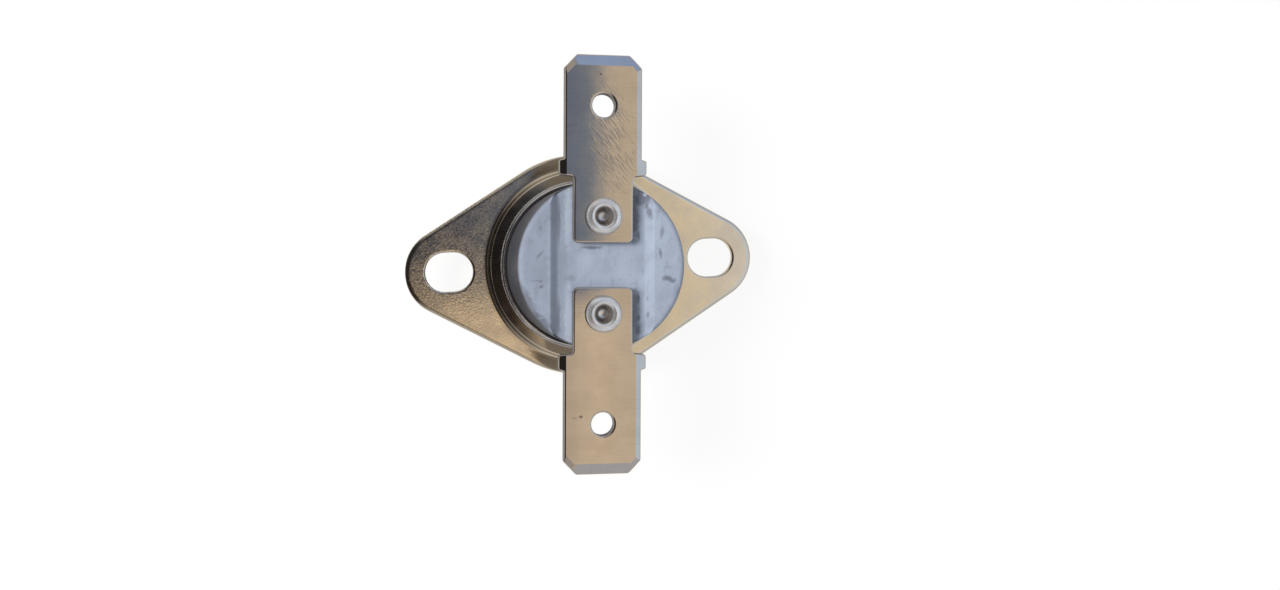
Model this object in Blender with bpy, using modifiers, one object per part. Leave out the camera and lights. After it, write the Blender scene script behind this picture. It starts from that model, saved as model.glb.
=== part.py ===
"""Snap-disc thermal cutoff with a mounting bracket that turns round the body.

Metres. The origin is the middle of the sensing face. +Z points from that face to the tabs, which lie along Y.
"""
import math

import bmesh
import bpy
from mathutils import Matrix

# Clearances
SEAT = 0.00008              # between pieces that seat on each other
LOOSE = 0.0001              # round the bracket's rim, so that it turns
COLLAR_ROOM = 0.0003        # between the cap's bulge and the foot of the bracket's collar
RIVET_HOLE_PLAY = 0.00012
PIN_PLAY = 0.00012
DISC_PLAY = 0.0001          # under the disc's middle
DISC_ROOM = 0.00028         # round the disc
ARM_PLAY = 0.00015          # above and below the arm's root, so that it can tilt
ARM_END_ROOM = 0.00075      # between the arm's free end and the strip's leg
LEG_ROOM = 0.00025          # between the strip's leg and the chamber's wall
TAIL_ROOM = 0.00015         # between the upper rivet's tail and the strip's leg
EAR_ROOM = 0.00033          # between the ceramic body and the tabs' ears
CHANNEL_ROOM = 0.00035      # beside a tab, to the foot of each wall of the channel
CONTACT_OPENING = 0.00005   # between the closed contacts

# Quick-connect tabs
TAB_WIDTH = 0.0063
TAB_THICKNESS = 0.0008
TAB_LENGTH = 0.0096         # from the ears to the tip
TAB_CORNER = (0.001, 0.00105)
TAB_EAR_REACH = 0.000425    # how far an ear stands out from the tab's edge
TAB_EAR_LENGTH = 0.00115
TAB_EAR_SLOPE = 0.00012     # how much the ears' edges run towards the tip or the neck
TAB_NECK_WIDTH = 0.0048
TAB_NECK_CORNER = 0.0004
TAB_EAR_FILLET = 0.0003     # from the neck into the ears
TAB_EAR_CORNERS = (0.00025, 0.00015)
TAB_TIP_CORNER = 0.0003
TAB_NECK_REACH = 0.0021     # from the rivet's axis to the neck's end
TAB_HOLE_INSET = 0.00406    # from the tip to the detent hole's middle
TAB_HOLE_RADIUS = 0.00094
TIP_BEVEL = (0.0009, 0.0002)    # length and depth
SIDE_BEVEL = (0.0004, 0.0001)   # width and depth
TAB_EDGE = 0.00006

# Hollow rivets
RIVET_SHANK = 0.0008        # radius
RIVET_WALL = 0.0002
RIVET_FUNNEL = 0.00022      # how much the bore widens up to the head's mouth
RIVET_INNER_ROLL = 0.00026  # from the mouth out to the highest ring
RIVET_OUTER_ROLL = 0.00042  # from the highest ring out to the head's rim
RIVET_HEAD_HEIGHT = 0.0005
RIVET_TAIL = 0.0012         # radius
RIVET_TAIL_HEIGHT = 0.00034

# Sheet bracket
BRACKET_THICKNESS = 0.0005
BRACKET_TURN = math.radians(3.3)
BRACKET_EDGE = 0.00007
SLOT_LENGTH = 0.00415
SLOT_WIDTH = 0.0034
SLOT_LAND = 0.001275        # from the collar to a slot
END_WALL = 0.00213          # from a slot's side to the edge of the bracket's end
MIDDLE_FLANGE = 0.0013      # from the collar to the edge of the bracket's middle
COLLAR_DRAFT = 0.00025
COLLAR_CROWN = 0.00012      # how much the collar's top falls from its rim to its outer edge
COLLAR_BEND = 0.0002        # radius of the bends at the collar's foot and top
COLLAR_HEIGHT = 0.0008      # from the plate's top to the collar's top

# Drawn cap
CAP_SHEET = 0.00022
CAP_NECK_RADIUS = 0.00715
CAP_BULGE = 0.0005          # how far the bulge stands out from the neck
CAP_FACE_INSET = 0.00035    # how far the narrow part stands in from the bulge
CAP_FACE_HEIGHT = 0.00125   # height of the narrow part, where the disc lies
CAP_CORNER = 0.0005
CAP_SHOULDER = 0.00025
LIP_OVERHANG = 0.00025

# Ceramic body
CERAMIC_WALL = 0.00097      # round the chamber
CEILING_THICKNESS = 0.00252     # from the chamber to the channel
CHANNEL_DEPTH = 0.00063
CHANNEL_SLOPE = 0.0009      # how far each wall of the channel leans out
CHANNEL_STEPS = 6           # facets of each wall
FOOT_THICKNESS = 0.00077    # the rim that the cap grips
BODY_EDGE = 0.00035
FOOT_CORNER = 0.0001

# Disc, guide plate and pin
DISC_THICKNESS = 0.00018
DISC_DISH = 0.0005
GUIDE_THICKNESS = 0.0007
GUIDE_BOSS_WALL = 0.00108
GUIDE_BOSS_HEIGHT = 0.0018
PIN_RADIUS = 0.0008
PIN_DOME = 0.00035

# Contacts
ARM_THICKNESS = 0.00025
ARM_WIDTH = 0.0026
ARM_RISE = 0.0038           # from the guide plate to the arm's free part
ARM_DROP = 0.002            # from the arm's root down to its free part
ARM_BEND_GAP = 0.0005       # from the rivet's tail to the arm's first bend
ARM_BEND_RUN = 0.0005       # from the first bend to the second, along the arm
STRIP_THICKNESS = 0.0004
STRIP_WIDTH = 0.0024
STRIP_MARGIN = 0.0001       # from the contact's rim to the strip's ends
CONTACT_RADIUS = 0.0009
CONTACT_THICKNESS = 0.0004
CONTACT_DOME = 0.0001

SEGMENTS = 48
SMALL_SEGMENTS = 24
SMALL_ROUND = 0.0001        # a corner of this radius or less is a plain chamfer
SHARP_ANGLE = math.radians(32)
ABOVE = 0.001               # how far a cutter stands clear of what it cuts
RUN_OUT = 0.00001           # how far the channel's wall has risen where it leaves the top
JOIN = 0.0003               # from a bend of the collar to the next ring of points on the plate

# Radii that follow from the cap's neck, outwards and inwards
CAP_BULGE_RADIUS = CAP_NECK_RADIUS + CAP_BULGE
CAP_FACE_RADIUS = CAP_BULGE_RADIUS - CAP_FACE_INSET
DISC_RADIUS = CAP_FACE_RADIUS - CAP_SHEET - DISC_ROOM
FOOT_RADIUS = CAP_BULGE_RADIUS - CAP_SHEET - SEAT
BODY_RADIUS = CAP_NECK_RADIUS - CAP_SHEET - 0.75 * SEAT
CHAMBER_RADIUS = BODY_RADIUS - CERAMIC_WALL
COLLAR_RADIUS = CAP_BULGE_RADIUS + COLLAR_ROOM + BRACKET_THICKNESS
MIDDLE_RADIUS = COLLAR_RADIUS + MIDDLE_FLANGE
SLOT_PLACE = COLLAR_RADIUS + SLOT_LAND + SLOT_LENGTH / 2
END_RADIUS = SLOT_WIDTH / 2 + END_WALL
RIVET_BORE = RIVET_SHANK - RIVET_WALL
RIVET_MOUTH = RIVET_BORE + RIVET_FUNNEL
RIVET_CREST = RIVET_MOUTH + RIVET_INNER_ROLL
RIVET_HEAD = RIVET_CREST + RIVET_OUTER_ROLL
PIN_HOLE = PIN_RADIUS + PIN_PLAY
GUIDE_BOSS_RADIUS = PIN_HOLE + GUIDE_BOSS_WALL

# Places along the tabs' line, from the axis
STRIP_LEG_INSIDE = CHAMBER_RADIUS - LEG_ROOM - STRIP_THICKNESS
STRIP_LEG_PLACE = STRIP_LEG_INSIDE + STRIP_THICKNESS / 2
RIVET_PLACE = STRIP_LEG_INSIDE - TAIL_ROOM - RIVET_TAIL
ARM_ROOT_END = -RIVET_PLACE - RIVET_TAIL
ARM_BEND_START = -RIVET_PLACE + RIVET_TAIL + ARM_BEND_GAP
ARM_BEND_END = ARM_BEND_START + ARM_BEND_RUN
ARM_END = STRIP_LEG_INSIDE - ARM_END_ROOM
CONTACT_PLACE = ARM_END - CONTACT_RADIUS
STRIP_INNER_END = CONTACT_PLACE - CONTACT_RADIUS - STRIP_MARGIN
TAB_NECK_END = RIVET_PLACE - TAB_NECK_REACH
TAB_EAR_START = BODY_RADIUS + EAR_ROOM
TAB_EAR_END = TAB_EAR_START + TAB_EAR_LENGTH
TAB_TIP = TAB_EAR_START + TAB_LENGTH
TAB_HOLE_PLACE = TAB_TIP - TAB_HOLE_INSET
CHANNEL_WIDTH = TAB_WIDTH + 2 * CHANNEL_ROOM

# Levels, from the sensing face up
DISC_BOTTOM = CAP_SHEET + DISC_PLAY
PIN_BOTTOM = DISC_BOTTOM + DISC_THICKNESS + SEAT
GUIDE_BOTTOM = CAP_FACE_HEIGHT + CAP_SHOULDER + CAP_SHEET + SEAT
GUIDE_TOP = GUIDE_BOTTOM + GUIDE_THICKNESS
FOOT_BOTTOM = GUIDE_TOP + SEAT
FOOT_TOP = FOOT_BOTTOM + FOOT_THICKNESS
BULGE_TOP = FOOT_TOP + SEAT + CAP_SHEET
COLLAR_TOP = BULGE_TOP + 1.5 * LOOSE + BRACKET_THICKNESS
BRACKET_TOP = COLLAR_TOP - COLLAR_HEIGHT
BRACKET_UNDERSIDE = BRACKET_TOP - BRACKET_THICKNESS
LIP_UNDERSIDE = COLLAR_TOP + LOOSE
ARM_LEVEL = GUIDE_TOP + ARM_RISE
PIN_TOP = ARM_LEVEL - SEAT
MOVING_CONTACT_TOP = ARM_LEVEL - SEAT / 2
FIXED_CONTACT_TOP = MOVING_CONTACT_TOP - CONTACT_THICKNESS - CONTACT_OPENING
STRIP_FOOT_TOP = FIXED_CONTACT_TOP - CONTACT_THICKNESS - SEAT / 2
ARM_ROOT_TOP = ARM_LEVEL + ARM_THICKNESS + ARM_DROP
CHAMBER_CEILING = ARM_ROOT_TOP + ARM_PLAY
STRIP_TOP = CHAMBER_CEILING - SEAT
CHANNEL_FLOOR = CHAMBER_CEILING + CEILING_THICKNESS
BODY_TOP = CHANNEL_FLOOR + CHANNEL_DEPTH
TAB_BOTTOM = CHANNEL_FLOOR + SEAT
TAB_TOP = TAB_BOTTOM + TAB_THICKNESS


def collection(name):
    """A new collection in the scene."""
    made = bpy.data.collections.new(name)
    bpy.context.scene.collection.children.link(made)
    return made


def material(name, colour, roughness, metallic):
    """A plain Principled material."""
    made = bpy.data.materials.new(name)
    made.use_nodes = True
    shader = made.node_tree.nodes["Principled BSDF"]
    shader.inputs["Base Color"].default_value = (*colour, 1.0)
    shader.inputs["Roughness"].default_value = roughness
    shader.inputs["Metallic"].default_value = metallic
    made.diffuse_color = (*colour, 1.0)
    return made


def new_object(name, mesh, finish, group):
    """An object for the mesh, in the group, with its material."""
    made = bpy.data.objects.new(name, mesh)
    group.objects.link(made)
    if finish is not None:
        mesh.materials.append(finish)
    return made


def shade(made):
    """Smooth shading with sharp corners."""
    made.data.shade_smooth()
    made.data.set_sharp_from_angle(angle=SHARP_ANGLE)


def rounded(corners, steps=2, closed=True):
    """Points along a path whose corners are given as (x, y, radius)."""
    points = []
    count = len(corners)
    for index, (x, y, radius) in enumerate(corners):
        if radius == 0 or (not closed and index in (0, count - 1)):
            points.append((x, y))
            continue
        before = corners[index - 1]
        after = corners[(index + 1) % count]
        into = math.atan2(y - before[1], x - before[0])
        turn = math.remainder(math.atan2(after[1] - y, after[0] - x) - into, math.tau)
        reach = radius * math.tan(abs(turn) / 2)
        side = math.copysign(1, turn)
        centre_x = x - reach * math.cos(into) - side * radius * math.sin(into)
        centre_y = y - reach * math.sin(into) + side * radius * math.cos(into)
        turns = steps if radius > SMALL_ROUND else 1
        for step in range(turns + 1):
            angle = into - side * math.pi / 2 + turn * step / turns
            points.append((centre_x + radius * math.cos(angle), centre_y + radius * math.sin(angle)))
    return points


def circle(x, y, radius, steps=SMALL_SEGMENTS):
    """Points round a circle."""
    angles = [math.tau * step / steps for step in range(steps)]
    return [(x + radius * math.cos(angle), y + radius * math.sin(angle)) for angle in angles]


def strip_section(path, thickness):
    """The closed outline of a sheet that follows the path, half its thickness to each side."""
    sides = ([], [])
    for index, (x, y) in enumerate(path):
        x0, y0 = path[max(index - 1, 0)]
        x1, y1 = path[min(index + 1, len(path) - 1)]
        length = math.hypot(x1 - x0, y1 - y0)
        across = ((y0 - y1) / length, (x1 - x0) / length)
        for side, sign in zip(sides, (1, -1)):
            side.append((x + sign * across[0] * thickness / 2, y + sign * across[1] * thickness / 2))
    return sides[0] + sides[1][::-1]


def turned(name, profile, finish, group, segments=SEGMENTS, ring=False):
    """A profile of (radius, height) turned about Z. It runs down the outer side. A ring's is closed."""
    mesh = bpy.data.meshes.new(name)
    edges = [(index, index + 1) for index in range(len(profile) - 1)]
    if ring:
        edges.append((len(profile) - 1, 0))
    mesh.from_pydata([(radius, 0, height) for radius, height in profile], edges, [])
    made = new_object(name, mesh, finish, group)
    screw = made.modifiers.new("Turn", "SCREW")
    screw.steps = segments
    screw.render_steps = segments
    screw.use_merge_vertices = True
    screw.merge_threshold = 1e-6
    screw.use_smooth_shade = True
    return made


def extruded(name, outlines, depth, finish, group):
    """A flat outline with its holes, as a closed mesh from z = 0 to depth."""
    curve = bpy.data.curves.new(name, "CURVE")
    curve.dimensions = "2D"
    curve.fill_mode = "BOTH"
    curve.extrude = depth / 2
    for outline in outlines:
        spline = curve.splines.new("POLY")
        spline.points.add(len(outline) - 1)
        spline.use_cyclic_u = True
        for point, (x, y) in zip(spline.points, outline):
            point.co = (x, y, 0, 1)
    flat = bpy.data.objects.new(name + " outline", curve)
    group.objects.link(flat)
    graph = bpy.context.evaluated_depsgraph_get()
    mesh = bpy.data.meshes.new_from_object(flat.evaluated_get(graph))
    bpy.data.objects.remove(flat)
    work = bmesh.new()
    work.from_mesh(mesh)
    bmesh.ops.remove_doubles(work, verts=work.verts, dist=1e-6)
    bmesh.ops.translate(work, verts=work.verts, vec=(0, 0, depth / 2))
    bmesh.ops.recalc_face_normals(work, faces=work.faces)
    work.to_mesh(mesh)
    work.free()
    mesh.name = name
    return new_object(name, mesh, finish, group)


def stand_up(made, width, side):
    """Turns an extruded outline so that its x runs along the side and its y along Z, centred on the width."""
    along_x = Matrix(((1, 0, 0, 0), (0, 0, -1, width / 2), (0, 1, 0, 0), (0, 0, 0, 1)))
    quarter = Matrix.Rotation(math.pi / 2, 4, "Z") if side == "Y" else Matrix.Identity(4)
    made.data.transform(quarter @ along_x)


def box(name, low, high, group):
    """A box between two corners, as a cutter."""
    mesh = bpy.data.meshes.new(name)
    work = bmesh.new()
    size = [b - a for a, b in zip(low, high)]
    middle = [(a + b) / 2 for a, b in zip(low, high)]
    place = Matrix.Translation(middle) @ Matrix.Diagonal((*size, 1))
    bmesh.ops.create_cube(work, size=1, matrix=place)
    work.to_mesh(mesh)
    work.free()
    return cutter(new_object(name, mesh, None, group))


def rod(name, radius, low, high, group, segments=SMALL_SEGMENTS):
    """An upright round cutter."""
    mesh = bpy.data.meshes.new(name)
    work = bmesh.new()
    place = Matrix.Translation((0, 0, (low + high) / 2))
    bmesh.ops.create_cone(
        work, cap_ends=True, segments=segments, radius1=radius, radius2=radius,
        depth=high - low, matrix=place,
    )
    work.to_mesh(mesh)
    work.free()
    return cutter(new_object(name, mesh, None, group))


def cutter(made):
    """Marks an object as a tool that isn't part of the model."""
    made.hide_render = True
    made.display_type = "WIRE"
    return made


def cut(target, tool):
    """Takes the tool's shape away from the target."""
    made = target.modifiers.new(tool.name, "BOOLEAN")
    made.operation = "DIFFERENCE"
    made.solver = "EXACT"
    made.object = tool


def soften(target, width):
    """A small chamfer on the sharp edges of a sheet piece."""
    made = target.modifiers.new("Edges", "BEVEL")
    made.width = width
    made.segments = 1
    made.limit_method = "ANGLE"
    made.angle_limit = math.radians(60)


def make_ceramic_base(finish, parts, tools):
    """The body: a foot that the cap grips, a chamber open below, and the tabs' channel across its top."""
    profile = rounded([
        (0, BODY_TOP, 0),
        (BODY_RADIUS, BODY_TOP, BODY_EDGE),
        (BODY_RADIUS, FOOT_TOP, FOOT_CORNER),
        (FOOT_RADIUS, FOOT_TOP, FOOT_CORNER),
        (FOOT_RADIUS, FOOT_BOTTOM, FOOT_CORNER),
        (CHAMBER_RADIUS, FOOT_BOTTOM, 0),
        (CHAMBER_RADIUS, CHAMBER_CEILING, BODY_EDGE),
        (0, CHAMBER_CEILING, 0),
    ], closed=False)
    body = turned("ceramic_base", profile, finish, parts)

    side = []
    for step in range(CHANNEL_STEPS):
        share = step / CHANNEL_STEPS
        rise = CHANNEL_DEPTH * (1 - math.cos(math.pi * share)) / 2
        side.append((CHANNEL_WIDTH / 2 + CHANNEL_SLOPE * share, CHANNEL_FLOOR + rise))
    side.append((CHANNEL_WIDTH / 2 + CHANNEL_SLOPE, BODY_TOP + RUN_OUT))
    side.append((CHANNEL_WIDTH / 2 + CHANNEL_SLOPE, BODY_TOP + ABOVE))
    section = side + [(-x, z) for x, z in reversed(side)]
    channel = cutter(extruded("channel", [section], 2 * (BODY_RADIUS + ABOVE), None, tools))
    stand_up(channel, 2 * (BODY_RADIUS + ABOVE), "X")
    cut(body, channel)
    for name, place in (("upper", RIVET_PLACE), ("lower", -RIVET_PLACE)):
        hole = rod("ceramic hole " + name, RIVET_SHANK + RIVET_HOLE_PLAY, CHAMBER_CEILING - ABOVE,
                   CHANNEL_FLOOR + ABOVE, tools)
        hole.location.y = place
        cut(body, hole)


def make_sensor_cap(finish, parts):
    """The drawn cup. Its neck grips the ceramic foot, and its lip keeps the bracket down."""
    skin = rounded([
        (CAP_NECK_RADIUS + LIP_OVERHANG, LIP_UNDERSIDE, 0),
        (CAP_NECK_RADIUS, LIP_UNDERSIDE, 0.5 * CAP_SHEET),
        (CAP_NECK_RADIUS, BULGE_TOP, 0.5 * CAP_SHEET),
        (CAP_BULGE_RADIUS, BULGE_TOP, 1.3 * CAP_SHEET),
        (CAP_BULGE_RADIUS, CAP_FACE_HEIGHT + CAP_SHOULDER, 1.2 * CAP_SHEET),
        (CAP_FACE_RADIUS, CAP_FACE_HEIGHT, 0.5 * CAP_SHEET),
        (CAP_FACE_RADIUS, 0, CAP_CORNER),
        (0, 0, 0),
    ], closed=False)
    cap = turned("sensor_cap", skin, finish, parts)
    wall = cap.modifiers.new("Sheet", "SOLIDIFY")
    wall.thickness = CAP_SHEET
    wall.offset = -1
    wall.use_even_offset = True


def bracket_outline(inset):
    """Points round the bracket's outline, moved in by the inset, from its right end and counterclockwise."""
    end = END_RADIUS - inset
    middle = MIDDLE_RADIUS - inset
    lean = math.asin((middle - end) / SLOT_PLACE)
    quarter = []
    for step in range(7):
        angle = (math.pi / 2 - lean) * step / 6
        quarter.append((SLOT_PLACE + end * math.cos(angle), end * math.sin(angle)))
    x0, y0 = quarter[-1]
    x1, y1 = middle * math.sin(lean), middle * math.cos(lean)
    for step in range(1, 7):
        share = step / 7
        quarter.append((x0 + (x1 - x0) * share, y0 + (y1 - y0) * share))
    for step in range(5):
        angle = math.pi / 2 - lean + lean * step / 4
        quarter.append((middle * math.cos(angle), middle * math.sin(angle)))
    half = quarter + [(-x, y) for x, y in reversed(quarter[:-1])]
    return half + [(x, -y) for x, y in reversed(half[1:-1])]


def make_mounting_bracket(finish, parts, tools):
    """The sheet bracket: a diamond plate with two slots, which rises to a collar over the cap's bulge."""
    directions = [math.atan2(y, x) for x, y in bracket_outline(0)]
    rim = CAP_NECK_RADIUS + LOOSE
    wall = COLLAR_RADIUS - BRACKET_THICKNESS
    top = rounded([
        (COLLAR_RADIUS + JOIN, BRACKET_TOP, 0),
        (COLLAR_RADIUS, BRACKET_TOP, COLLAR_BEND),
        (COLLAR_RADIUS - COLLAR_DRAFT, COLLAR_TOP - COLLAR_CROWN, COLLAR_BEND),
        (rim, COLLAR_TOP, BRACKET_EDGE),
        (rim, COLLAR_TOP - BRACKET_THICKNESS, BRACKET_EDGE),
        (wall - COLLAR_DRAFT, COLLAR_TOP - COLLAR_CROWN - BRACKET_THICKNESS, COLLAR_BEND / 2),
        (wall, BRACKET_UNDERSIDE, COLLAR_BEND),
        (wall + JOIN, BRACKET_UNDERSIDE, 0),
    ], closed=False)
    rings = [
        [(x, y, BRACKET_TOP - BRACKET_EDGE) for x, y in bracket_outline(0)],
        [(x, y, BRACKET_TOP) for x, y in bracket_outline(BRACKET_EDGE)],
    ]
    for radius, height in top:
        rings.append([(radius * math.cos(angle), radius * math.sin(angle), height) for angle in directions])
    rings.append([(x, y, BRACKET_UNDERSIDE) for x, y in bracket_outline(BRACKET_EDGE)])
    rings.append([(x, y, BRACKET_UNDERSIDE + BRACKET_EDGE) for x, y in bracket_outline(0)])

    work = bmesh.new()
    loops = [[work.verts.new(point) for point in ring] for ring in rings]
    for outer, inner in zip(loops, loops[1:] + loops[:1]):
        for index in range(len(outer)):
            after = (index + 1) % len(outer)
            work.faces.new((outer[index], outer[after], inner[after], inner[index]))
    mesh = bpy.data.meshes.new("mounting_bracket")
    work.to_mesh(mesh)
    work.free()
    bracket = new_object("mounting_bracket", mesh, finish, parts)
    bracket.rotation_euler.z = BRACKET_TURN

    reach = (SLOT_LENGTH - SLOT_WIDTH) / 2
    for name, place in (("slot right", SLOT_PLACE), ("slot left", -SLOT_PLACE)):
        corner = SLOT_WIDTH / 2
        outline = []
        for side, start in ((1, -90), (-1, 90)):
            for step in range(13):
                angle = math.radians(start + 15 * step)
                outline.append((side * reach + corner * math.cos(angle), corner * math.sin(angle)))
        slot = cutter(extruded(name, [outline], BRACKET_THICKNESS + 2 * ABOVE, None, tools))
        slot.parent = bracket
        slot.location = (place, 0, BRACKET_UNDERSIDE - ABOVE)
        cut(bracket, slot)
    return bracket


def make_terminals(finish, parts, tools):
    """Two alike stamped tabs: a neck under the rivet, stop ears, a detent hole and a bevelled tip."""
    half = TAB_WIDTH / 2
    ear = half + TAB_EAR_REACH
    neck = TAB_NECK_WIDTH / 2
    right = [
        (neck, TAB_NECK_END, TAB_NECK_CORNER),
        (neck, TAB_EAR_START - TAB_EAR_SLOPE, TAB_EAR_FILLET),
        (ear, TAB_EAR_START, TAB_EAR_CORNERS[0]),
        (ear, TAB_EAR_END, TAB_EAR_CORNERS[1]),
        (half, TAB_EAR_END + TAB_EAR_SLOPE, SMALL_ROUND),
        (half, TAB_TIP - TAB_CORNER[1], TAB_TIP_CORNER),
        (half - TAB_CORNER[0], TAB_TIP, TAB_TIP_CORNER),
    ]
    left = [(-x, y, radius) for x, y, radius in reversed(right)]
    outlines = [
        rounded(right + left),
        circle(0, RIVET_PLACE, RIVET_SHANK + RIVET_HOLE_PLAY),
        circle(0, TAB_HOLE_PLACE, TAB_HOLE_RADIUS, 32),
    ]
    blank = extruded("terminal", outlines, TAB_THICKNESS, finish, tools)
    soften(blank, TAB_EDGE)

    slope = math.atan2(TIP_BEVEL[1], TIP_BEVEL[0])
    reach = 2 * TIP_BEVEL[0]
    for face, low, high, turn in (("top", 0, ABOVE, -slope), ("bottom", -ABOVE, 0, slope)):
        tool = box("tip " + face, (-half - ABOVE, -ABOVE / 2, low), (half + ABOVE, reach, high), tools)
        tool.location = (0, TAB_TIP - TIP_BEVEL[0], TAB_THICKNESS if face == "top" else 0)
        tool.rotation_euler.x = turn
        cut(blank, tool)
    slope = math.atan2(SIDE_BEVEL[1], SIDE_BEVEL[0])
    start = TAB_EAR_END + TAB_EAR_SLOPE + 2 * TAB_EDGE
    for side in (1, -1):
        low, high = sorted((-side * ABOVE / 2, side * 3 * SIDE_BEVEL[0]))
        tool = box("side", (low, 0, 0), (high, TAB_TIP + ABOVE - start, ABOVE), tools)
        tool.location = (side * (half - SIDE_BEVEL[0]), start, TAB_THICKNESS)
        tool.rotation_euler.y = side * slope
        cut(blank, tool)

    graph = bpy.context.evaluated_depsgraph_get()
    mesh = bpy.data.meshes.new_from_object(blank.evaluated_get(graph))
    mesh.name = "terminal"
    for tool in [made.object for made in blank.modifiers if made.type == "BOOLEAN"] + [blank]:
        bpy.data.objects.remove(tool)
    for name, turn in (("terminal_upper", 0), ("terminal_lower", math.pi)):
        tab = bpy.data.objects.new(name, mesh)
        parts.objects.link(tab)
        tab.location.z = TAB_BOTTOM
        tab.rotation_euler.z = turn
    shade(tab)


def make_rivet(name, place, tail_top, finish, parts):
    """A hollow rivet, blind below, with a rolled head on the tab and a flat tail in the chamber."""
    seat = TAB_TOP + SEAT
    top = seat + RIVET_HEAD_HEIGHT
    profile = [
        (0, CHAMBER_CEILING),
        (0.7 * RIVET_BORE, CHAMBER_CEILING),
        (RIVET_BORE, CHAMBER_CEILING + 0.4 * RIVET_BORE),
        (RIVET_BORE, seat),
        (0.5 * (RIVET_BORE + RIVET_MOUTH), seat + 0.45 * RIVET_HEAD_HEIGHT),
        (RIVET_MOUTH, seat + 0.8 * RIVET_HEAD_HEIGHT),
        (0.5 * (RIVET_MOUTH + RIVET_CREST), top - 0.05 * RIVET_HEAD_HEIGHT),
        (RIVET_CREST, top),
        (RIVET_CREST + 0.5 * (RIVET_HEAD - RIVET_CREST), top - 0.13 * RIVET_HEAD_HEIGHT),
        (RIVET_CREST + 0.87 * (RIVET_HEAD - RIVET_CREST), top - 0.42 * RIVET_HEAD_HEIGHT),
        (RIVET_HEAD, top - 0.75 * RIVET_HEAD_HEIGHT),
        (RIVET_HEAD - 0.12 * RIVET_HEAD_HEIGHT, seat),
        (RIVET_SHANK, seat),
        (RIVET_SHANK, tail_top),
        (RIVET_TAIL, tail_top),
        (RIVET_TAIL, tail_top - 0.7 * RIVET_TAIL_HEIGHT),
        (RIVET_TAIL - 0.3 * RIVET_TAIL_HEIGHT, tail_top - RIVET_TAIL_HEIGHT),
        (0, tail_top - RIVET_TAIL_HEIGHT),
    ]
    rivet = turned(name, profile, finish, parts, SMALL_SEGMENTS)
    rivet.location.y = place


def make_bimetal_disc(finish, parts):
    """The dished disc, cold: its middle lies down towards the cap's face."""
    dish = (DISC_RADIUS ** 2 + DISC_DISH ** 2) / (2 * DISC_DISH)
    steps = 6
    skin = []
    for step in range(steps, -1, -1):
        radius = DISC_RADIUS * step / steps
        skin.append((radius, DISC_BOTTOM + dish - math.sqrt(dish ** 2 - radius ** 2)))
    disc = turned("bimetal_disc", skin, finish, parts, 36)
    wall = disc.modifiers.new("Sheet", "SOLIDIFY")
    wall.thickness = DISC_THICKNESS
    wall.offset = -1
    wall.use_even_offset = True
    return disc


def make_guide_plate(finish, parts):
    """The insulating plate between the disc and the chamber, with a boss that guides the pin."""
    profile = rounded([
        (PIN_HOLE, GUIDE_TOP + GUIDE_BOSS_HEIGHT, 0.0001),
        (GUIDE_BOSS_RADIUS, GUIDE_TOP + GUIDE_BOSS_HEIGHT, 0.0002),
        (GUIDE_BOSS_RADIUS, GUIDE_TOP, 0.0003),
        (FOOT_RADIUS, GUIDE_TOP, 0.0001),
        (FOOT_RADIUS, GUIDE_BOTTOM, 0.0001),
        (PIN_HOLE, GUIDE_BOTTOM, 0.0001),
    ], steps=1)
    turned("guide_plate", profile, finish, parts, 36, ring=True)


def make_push_pin(finish, parts):
    """The pin that carries the disc's snap to the arm, with domed ends."""
    profile = [(0, PIN_TOP)]
    for share, drop in ((0.45, 0.12), (0.8, 0.45), (1, 1)):
        profile.append((share * PIN_RADIUS, PIN_TOP - drop * PIN_DOME))
    profile += [(radius, PIN_BOTTOM + PIN_TOP - height) for radius, height in reversed(profile)]
    return turned("push_pin", profile, finish, parts, 24)


def make_contact(name, top, domed, finish, parts):
    """A contact button, domed on the face that meets the other one."""
    bottom = top - CONTACT_THICKNESS
    profile = [
        (0, top),
        (0.6 * CONTACT_RADIUS, top - (0.3 * CONTACT_DOME if domed == "top" else 0)),
        (CONTACT_RADIUS, top - (CONTACT_DOME if domed == "top" else 0)),
        (CONTACT_RADIUS, bottom + (CONTACT_DOME if domed == "bottom" else 0)),
        (0.6 * CONTACT_RADIUS, bottom + (0.3 * CONTACT_DOME if domed == "bottom" else 0)),
        (0, bottom),
    ]
    button = turned(name, profile, finish, parts, 24)
    button.location.y = CONTACT_PLACE
    return button


def make_contact_arm(finish, parts, tools):
    """The leaf spring: its root lies under the lower rivet, and its free end carries a contact."""
    root = ARM_ROOT_TOP - ARM_THICKNESS / 2
    level = ARM_LEVEL + ARM_THICKNESS / 2
    bend = 2 * ARM_THICKNESS
    path = rounded([
        (ARM_ROOT_END, root, 0),
        (ARM_BEND_START, root, bend),
        (ARM_BEND_END, level, bend),
        (ARM_END, level, 0),
    ], steps=4, closed=False)
    arm = extruded("contact_arm", [strip_section(path, ARM_THICKNESS)], ARM_WIDTH, finish, parts)
    stand_up(arm, ARM_WIDTH, "Y")
    hole = rod("arm hole", RIVET_SHANK + RIVET_HOLE_PLAY, root - ABOVE, root + ABOVE, tools)
    hole.location.y = -RIVET_PLACE
    cut(arm, hole)
    return arm


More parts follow.
